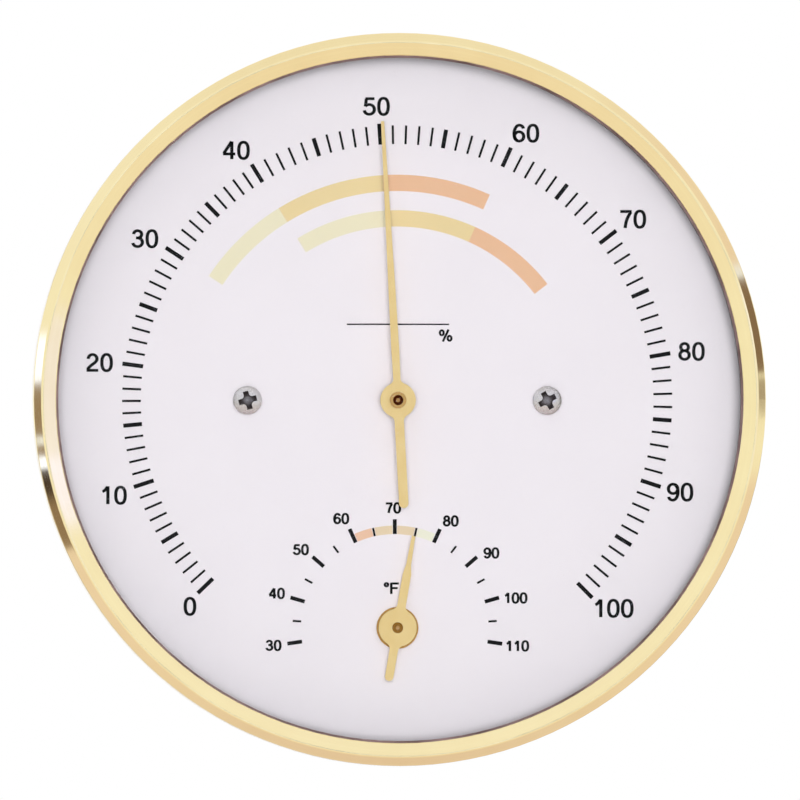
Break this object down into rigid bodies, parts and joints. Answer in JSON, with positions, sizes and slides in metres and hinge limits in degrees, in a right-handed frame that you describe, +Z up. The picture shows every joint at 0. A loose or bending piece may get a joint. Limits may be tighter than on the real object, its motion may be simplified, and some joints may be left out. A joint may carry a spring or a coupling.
{
  "type": "wall hygrometer",
  "caption": "Round brass wall hygrometer: a synthetic hair movement turns the long pointer over the dial through a sector and pinion, and a bimetal coil turns a short thermometer pointer.",
  "frame": {"origin": "centre of the flat back of the case, on the wall", "axes": "+Y into the wall, the dial faces -Y; +X to the viewer's right; +Z up"},
  "size_m": [0.103, 0.0319, 0.103],
  "materials": {
    "polished_brass": "polished and clear lacquered, small soft scratches",
    "satin_brass": "rolled sheet, satin",
    "turned_brass": "turned, fine rings, slightly darkened",
    "pointer_brass": "stamped sheet, satin lacquer",
    "steel": "turned, plain",
    "screw_steel": "nickel plated, soft gloss",
    "spring_steel": "blued",
    "bimetal": "rolled strip, satin",
    "dial_paint": "matt white lacquer",
    "black_ink": "printed, matt",
    "green_ink": "printed, matt pale green",
    "gold_ink": "printed, matt pale gold",
    "orange_ink": "printed, matt pale orange",
    "clear_glass": "flat, polished",
    "black_rubber": "matt",
    "black_plastic": "moulded, matt",
    "hair": "synthetic strands, crimped in foil"
  },
  "bodies": {
    "case": {"case_body": "polished_brass", "back_cover": "satin_brass", "cover_screws": "screw_steel", "bezel_ring": "polished_brass", "lens_gasket": "black_rubber", "glass_lens": "clear_glass", "spacer_ring": "black_plastic", "dial_seat_ring": "satin_brass", "dial_plate": "dial_paint", "humidity_ticks": "black_ink", "temperature_ticks": "black_ink", "green_bands": "green_ink", "gold_bands": "gold_ink", "orange_bands": "orange_ink", "dial_screws": "screw_steel", "dial_spacers": "turned_brass", "front_plate": "satin_brass", "back_plate": "satin_brass", "plate_pillars": "turned_brass", "plate_screws": "steel", "pointer_bushes": "turned_brass", "sector_bushes": "turned_brass", "tension_spring": "spring_steel", "spring_stud": "turned_brass", "hair_bundle": "hair", "spindle_washer": "steel", "thermometer_bush": "turned_brass", "thermometer_nut": "turned_brass", "bimetal_bracket": "satin_brass", "bimetal_coil": "bimetal"},
    "humidity_pointer_unit": {"pointer_arbor": "steel", "pinion": "turned_brass", "pointer_collet": "turned_brass", "humidity_pointer": "pointer_brass", "spring_collet": "turned_brass"},
    "sector_unit": {"sector_gear": "satin_brass", "sector_hub": "turned_brass", "sector_arbor": "steel", "hair_pin": "steel"},
    "adjuster": {"adjusting_spindle": "turned_brass", "spindle_clip": "steel"},
    "thermometer_pointer_unit": {"coil_collet": "turned_brass", "thermometer_arbor": "steel", "thermometer_collet": "turned_brass", "thermometer_pointer": "pointer_brass"}
  },
  "joints": [
    {"name": "humidity_pointer_turn", "type": "hinge", "parent": "case", "child": "humidity_pointer_unit", "pos_m": [0, 0, 0], "axis": [0, 1, 0], "range_deg": [-130.8, 138.5], "stiffness_Nm_per_rad": 0.0007, "deforming": ["tension_spring"]},
    {"name": "sector_turn", "type": "hinge", "parent": "case", "child": "sector_unit", "pos_m": [-0.014, 0, 0.014], "axis": [0, 1, 0], "range_deg": [-14, 13.5], "deforming": ["hair_bundle"]},
    {"name": "adjusting_spindle_turn", "type": "hinge", "parent": "case", "child": "adjuster", "pos_m": [0.04001, 0, 0.0152], "axis": [0, 1, 0], "range_deg": [-30, 30], "deforming": ["hair_bundle"]},
    {"name": "thermometer_pointer_turn", "type": "hinge", "parent": "case", "child": "thermometer_pointer_unit", "pos_m": [0, 0, -0.032], "axis": [0, 1, 0], "range_deg": [-108.2, 88.6], "stiffness_Nm_per_rad": 0.001, "deforming": ["bimetal_coil"]}
  ],
  "couplings": [
    {"joint": "sector_turn", "follows": "humidity_pointer_turn", "ratio": -0.1}
  ]
}
